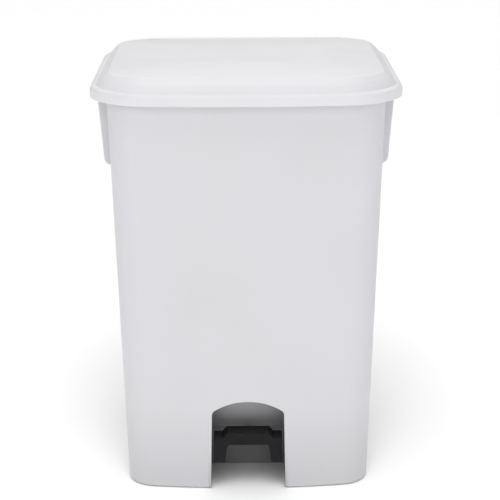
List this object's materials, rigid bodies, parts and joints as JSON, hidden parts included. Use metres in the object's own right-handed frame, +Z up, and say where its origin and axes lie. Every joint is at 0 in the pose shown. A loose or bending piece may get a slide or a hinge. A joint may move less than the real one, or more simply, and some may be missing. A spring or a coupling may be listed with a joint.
{
  "type": "pedal bin",
  "caption": "White moulded plastic pedal bin with a hinged lid, a black foot pedal in an arched recess, side hand grips and a lever and push rod that lift the lid.",
  "frame": {"origin": "centre of the bounding box at floor level", "axes": "+Z up, -Y towards the pedal and the front, +X to the right seen from the front"},
  "size_m": [0.41, 0.41, 0.5776],
  "materials": {
    "body_plastic": "satin",
    "lid_plastic": "satin",
    "cover_plastic": "satin",
    "pedal_plastic": "fine grain",
    "guide_plastic": "satin",
    "lever_steel": "brushed",
    "pin_steel": "turned",
    "zinc_steel": "zinc plated"
  },
  "bodies": {
    "bin_body": {"body_shell": "body_plastic", "hinge_pin_left": "pin_steel", "hinge_pin_right": "pin_steel", "hinge_pin_clip_left": "zinc_steel", "hinge_pin_clip_right": "zinc_steel", "pedal_bracket": "zinc_steel", "pedal_axle": "pin_steel", "axle_clip_left": "zinc_steel", "axle_clip_right": "zinc_steel", "rod_guide_lower": "guide_plastic", "rod_guide_upper": "guide_plastic", "channel_cover": "cover_plastic", "bracket_screw_1": "zinc_steel", "bracket_screw_2": "zinc_steel", "bracket_screw_3": "zinc_steel", "bracket_screw_4": "zinc_steel", "cover_screw_1": "zinc_steel", "cover_screw_2": "zinc_steel", "cover_screw_3": "zinc_steel", "cover_screw_4": "zinc_steel", "guide_screw_lower_left": "zinc_steel", "guide_screw_lower_right": "zinc_steel", "guide_screw_upper_left": "zinc_steel", "guide_screw_upper_right": "zinc_steel"},
    "lid": {"lid_shell": "lid_plastic", "lid_link_bracket": "zinc_steel", "link_pin": "pin_steel", "link_pin_clip": "zinc_steel", "link_screw_left": "zinc_steel", "link_screw_right": "zinc_steel"},
    "pedal_assembly": {"pedal": "pedal_plastic", "pedal_lever": "lever_steel", "lever_bush": "guide_plastic", "pedal_bolt_front": "zinc_steel", "pedal_bolt_rear": "zinc_steel", "pedal_nut_front": "zinc_steel", "pedal_nut_rear": "zinc_steel"},
    "push_rod_assembly": {"push_rod": "lever_steel", "fork_pin": "pin_steel", "fork_pin_clip": "zinc_steel"}
  },
  "joints": [
    {"name": "lid_hinge", "type": "hinge", "parent": "bin_body", "child": "lid", "pos_m": [0, 0.1945, 0.552], "axis": [-1, 0, 0], "range_deg": [0, 70]},
    {"name": "pedal_pivot", "type": "hinge", "parent": "bin_body", "child": "pedal_assembly", "pos_m": [0, -0.06, 0.04], "axis": [1, 0, 0], "range_deg": [0, 14.09]},
    {"name": "push_rod_slide", "type": "slide", "parent": "bin_body", "child": "push_rod_assembly", "axis": [0, 0, 1], "range_m": [0, 0.05264]}
  ],
  "couplings": [
    {"joint": "pedal_pivot", "follows": "lid_hinge", "ratio": 0.20088},
    {"joint": "push_rod_slide", "follows": "lid_hinge", "m_per_rad": 0.043004}
  ]
}
